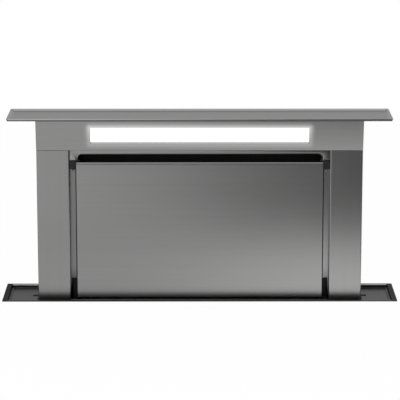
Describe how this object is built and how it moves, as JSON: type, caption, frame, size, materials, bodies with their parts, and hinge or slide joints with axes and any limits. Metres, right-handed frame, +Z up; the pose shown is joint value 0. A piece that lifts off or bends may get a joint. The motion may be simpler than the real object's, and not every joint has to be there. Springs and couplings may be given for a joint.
{
  "type": "downdraft vent",
  "caption": "Telescopic downdraft vent shown raised: steel column with slotted front panel and lit head in a worktop flange, over a housing with a screw lift and a side-outlet blower.",
  "frame": {"origin": "middle of the whole object's footprint, on the floor under its feet", "axes": "+Z up along the column's travel, X along the flange's long side, the suction front faces -Y"},
  "size_m": [0.88, 0.2946, 1.081],
  "materials": {
    "brushed_steel": "satin",
    "galvanised": "matte",
    "dark_coating": "matte",
    "machined_steel": "satin",
    "aluminium": "satin",
    "black_plastic": "matte",
    "grey_plastic": "matte",
    "rubber": "matte",
    "circuit_board": "satin",
    "lit_acrylic": "gloss"
  },
  "bodies": {
    "housing": {"flange": "brushed_steel", "opening_seal": "rubber", "housing_front": "galvanised", "housing_back": "galvanised", "housing_side_left": "galvanised", "housing_side_right": "galvanised", "housing_bottom": "galvanised", "guide_rail_left": "machined_steel", "guide_rail_right": "machined_steel", "leg_left": "galvanised", "leg_right": "galvanised", "clamp_bracket_left": "galvanised", "clamp_bracket_right": "galvanised", "clamp_screw_left": "machined_steel", "clamp_screw_right": "machined_steel", "sensor_upper": "black_plastic", "sensor_lower": "black_plastic", "gearbox": "aluminium", "lift_motor": "black_plastic", "scroll_shell": "grey_plastic", "inlet_plate": "grey_plastic", "fan_motor": "aluminium", "outlet_collar": "grey_plastic", "control_box": "galvanised", "control_board": "circuit_board", "control_lid": "galvanised", "cable_gland": "black_plastic"},
    "column": {"cap_plate": "brushed_steel", "cap_seal": "rubber", "head_fascia": "brushed_steel", "head_beam": "galvanised", "light_tray": "brushed_steel", "light_diffuser": "lit_acrylic", "led_board": "circuit_board", "lintel": "brushed_steel", "pillar_left": "brushed_steel", "pillar_right": "brushed_steel", "back_panel": "brushed_steel", "duct_wall_left": "dark_coating", "duct_wall_right": "dark_coating", "filter_deck": "dark_coating", "lower_fascia": "brushed_steel", "grease_filter_left": "aluminium", "grease_filter_right": "aluminium", "panel_catch_left": "black_plastic", "panel_catch_right": "black_plastic", "hinge_bracket_left": "galvanised", "hinge_bracket_right": "galvanised", "base_crossbar": "galvanised", "lift_nut": "grey_plastic", "slide_shoe_left": "grey_plastic", "slide_shoe_right": "grey_plastic"},
    "panel": {"front_panel": "brushed_steel", "panel_stiffener": "galvanised"},
    "latch_left": {"filter_latch_left": "black_plastic"},
    "latch_right": {"filter_latch_right": "black_plastic"},
    "screw": {"lead_screw": "machined_steel"},
    "impeller": {"impeller": "grey_plastic"},
    "flap_front": {"flap_front": "black_plastic"},
    "flap_rear": {"flap_rear": "black_plastic"}
  },
  "joints": [
    {"name": "lift", "type": "slide", "parent": "housing", "child": "column", "axis": [0, 0, 1], "range_m": [-0.409, 0]},
    {"name": "screw_turn", "type": "hinge", "parent": "housing", "child": "screw", "pos_m": [0, 0.09435, 0.11], "axis": [0, 0, 1], "range_deg": [0, 14730]},
    {"name": "panel_tilt", "type": "hinge", "parent": "column", "child": "panel", "pos_m": [0, 0.04135, 0.68], "axis": [1, 0, 0], "range_deg": [0, 45]},
    {"name": "latch_left_slide", "type": "slide", "parent": "column", "child": "latch_left", "axis": [0, 0, 1], "range_m": [-0.006, 0], "stiffness_N_per_m": 300, "springref_m": 0.003},
    {"name": "latch_right_slide", "type": "slide", "parent": "column", "child": "latch_right", "axis": [0, 0, 1], "range_m": [-0.006, 0], "stiffness_N_per_m": 300, "springref_m": 0.003},
    {"name": "fan_spin", "type": "hinge", "parent": "housing", "child": "impeller", "pos_m": [0, -0.045, 0.3], "axis": [0, 1, 0], "continuous": true},
    {"name": "flap_front_turn", "type": "hinge", "parent": "housing", "child": "flap_front", "pos_m": [0.2623, -0.07035, 0.1645], "axis": [0, 0, 1], "range_deg": [0, 75], "stiffness_Nm_per_rad": 0.02},
    {"name": "flap_rear_turn", "type": "hinge", "parent": "housing", "child": "flap_rear", "pos_m": [0.2623, -0.07035, 0.1645], "axis": [0, 0, -1], "range_deg": [0, 75], "stiffness_Nm_per_rad": 0.02}
  ],
  "couplings": [
    {"joint": "screw_turn", "follows": "lift", "rad_per_m": -628.32}
  ]
}
